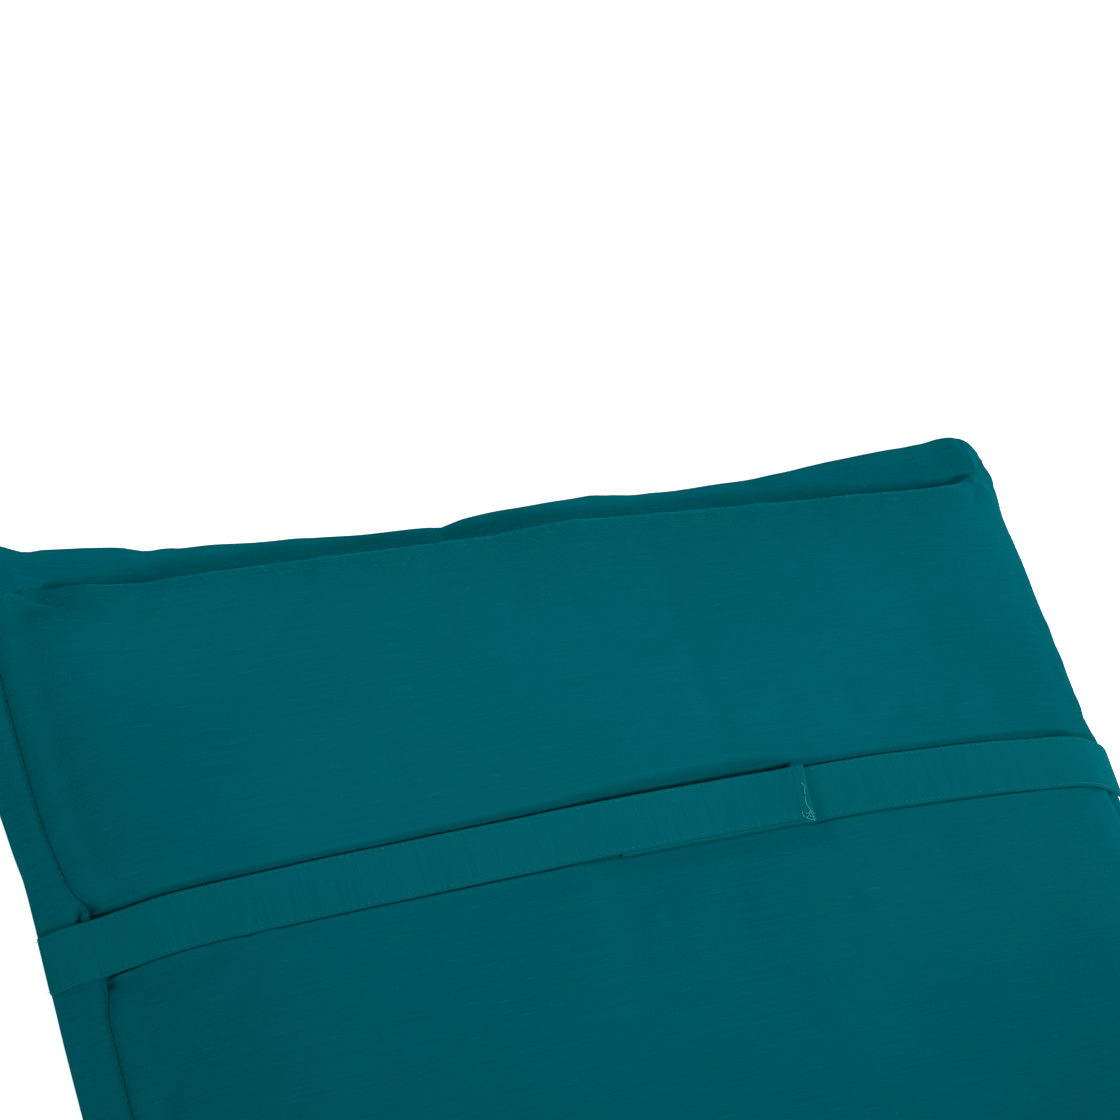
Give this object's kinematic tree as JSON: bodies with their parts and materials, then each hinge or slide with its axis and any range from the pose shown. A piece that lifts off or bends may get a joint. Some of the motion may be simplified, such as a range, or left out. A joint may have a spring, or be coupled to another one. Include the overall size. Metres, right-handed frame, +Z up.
{
  "type": "sun lounger cushion",
  "caption": "Long padded lounger cushion of woven cloth with a flat sewn flange all round and an overlapping fixing strap across its back near the head end.",
  "frame": {"origin": "middle of the cushion on the surface that it lies on, at the middle of its box", "axes": "+Y along the cushion towards the head end with the strap, +X across it, +Z up, away from the surface and out of the back, which is the face in the picture"},
  "size_m": [0.616, 2.0052, 0.073],
  "materials": {
    "cover_cloth": "plain woven polyester with fine slubs, dyed dark teal, matt",
    "strap_cloth": "the same cloth folded into a flat strap with the slubs across it, topstitched, matt"
  },
  "bodies": {
    "root": {"cushion": "cover_cloth", "strap_left": "strap_cloth", "strap_right": "strap_cloth"}
  },
  "joints": []
}
